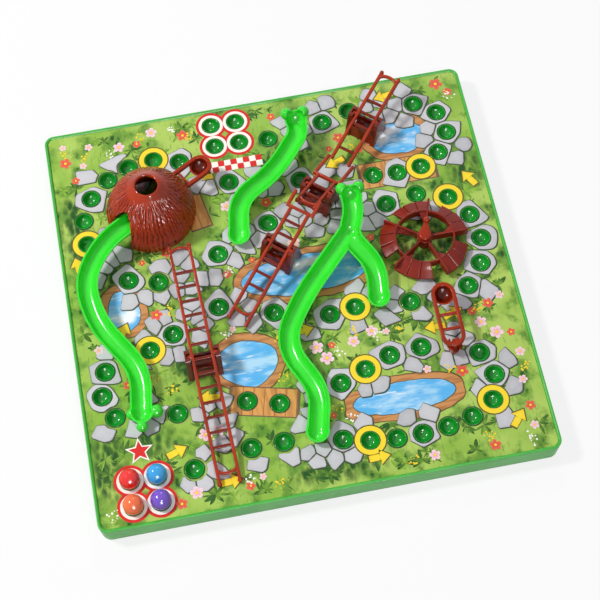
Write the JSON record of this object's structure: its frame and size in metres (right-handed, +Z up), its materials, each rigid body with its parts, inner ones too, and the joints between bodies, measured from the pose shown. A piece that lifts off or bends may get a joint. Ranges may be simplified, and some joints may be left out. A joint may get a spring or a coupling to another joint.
{
  "type": "snakes and ladders board game",
  "caption": "Square ball-run board game: green tray with a printed sheet, tipping ladders, snake troughs, a thatched hut, catapults and a turning wheel.",
  "frame": {"origin": "middle of the face that the tray stands on, where its underside ribs cross", "axes": "+X along the front edge to the right, +Y to the back edge, +Z up"},
  "size_m": [0.27, 0.27, 0.0507],
  "materials": {
    "tray_green": "moulded green plastic, semi-gloss",
    "printed_sheet": "printed card, satin",
    "snake_green": "moulded bright green plastic, glossy",
    "timber_brown": "moulded red-brown plastic, glossy",
    "ball_red": "glossy plastic",
    "ball_blue": "glossy plastic",
    "ball_orange": "glossy plastic",
    "ball_purple": "glossy plastic"
  },
  "bodies": {
    "board": {"base_tray": "tray_green", "board_sheet": "printed_sheet", "snake_upper": "snake_green", "snake_left": "snake_green", "snake_fork": "snake_green", "hut_dome": "timber_brown", "hut_catapult_foot": "timber_brown", "right_catapult_foot": "timber_brown", "wheel_spindle": "timber_brown", "wheel_retainer": "timber_brown", "trestle_left": "timber_brown", "trestle_lower": "timber_brown", "trestle_middle": "timber_brown", "trestle_upper": "timber_brown"},
    "wheel": {"water_wheel": "timber_brown", "wheel_knob": "timber_brown"},
    "ladder_left_seesaw": {"ladder_left": "timber_brown"},
    "ladder_lower_seesaw": {"ladder_lower": "timber_brown"},
    "ladder_middle_seesaw": {"ladder_middle": "timber_brown"},
    "ladder_upper_seesaw": {"ladder_upper": "timber_brown"},
    "right_catapult_lever": {"right_catapult_arm": "timber_brown"},
    "hut_catapult_lever": {"hut_catapult_arm": "timber_brown"},
    "red_ball_piece": {"red_ball": "ball_red"},
    "blue_ball_piece": {"blue_ball": "ball_blue"},
    "orange_ball_piece": {"orange_ball": "ball_orange"},
    "purple_ball_piece": {"purple_ball": "ball_purple"}
  },
  "joints": [
    {"name": "wheel_turn", "type": "hinge", "parent": "board", "child": "wheel", "pos_m": [0.086, 0.012, 0.0174], "axis": [0, 0, 1], "continuous": true},
    {"name": "ladder_left_tip", "type": "hinge", "parent": "board", "child": "ladder_left_seesaw", "pos_m": [-0.0597, -0.0428, 0.029], "axis": [-0.9994, -0.0349, 0], "range_deg": [0, 20.3]},
    {"name": "ladder_lower_tip", "type": "hinge", "parent": "board", "child": "ladder_lower_seesaw", "pos_m": [-0.002, 0.0196, 0.029], "axis": [-0.7536, 0.6574, 0], "range_deg": [0, 29]},
    {"name": "ladder_middle_tip", "type": "hinge", "parent": "board", "child": "ladder_middle_seesaw", "pos_m": [0.0285, 0.05457, 0.029], "axis": [0.7536, -0.6574, 0], "range_deg": [0, 30]},
    {"name": "ladder_upper_tip", "type": "hinge", "parent": "board", "child": "ladder_upper_seesaw", "pos_m": [0.06749, 0.09925, 0.029], "axis": [-0.7536, 0.6574, 0], "range_deg": [0, 22]},
    {"name": "right_catapult_flick", "type": "hinge", "parent": "board", "child": "right_catapult_lever", "pos_m": [0.0872, -0.0623, 0.0213], "axis": [-1, 0.0035, 0], "range_deg": [0, 11.5], "stiffness_Nm_per_rad": 0.02, "springref_deg": -5.73},
    {"name": "hut_catapult_flick", "type": "hinge", "parent": "board", "child": "hut_catapult_lever", "pos_m": [-0.0682, 0.0716, 0.0213], "axis": [-0.4695, 0.8829, 0], "range_deg": [0, 11.5], "stiffness_Nm_per_rad": 0.02, "springref_deg": -5.73},
    {"name": "red_ball_lift", "type": "slide", "parent": "board", "child": "red_ball_piece", "axis": [0, 0, 1], "range_m": [0, 0.03]},
    {"name": "blue_ball_lift", "type": "slide", "parent": "board", "child": "blue_ball_piece", "axis": [0, 0, 1], "range_m": [0, 0.03]},
    {"name": "orange_ball_lift", "type": "slide", "parent": "board", "child": "orange_ball_piece", "axis": [0, 0, 1], "range_m": [0, 0.03]},
    {"name": "purple_ball_lift", "type": "slide", "parent": "board", "child": "purple_ball_piece", "axis": [0, 0, 1], "range_m": [0, 0.03]}
  ]
}
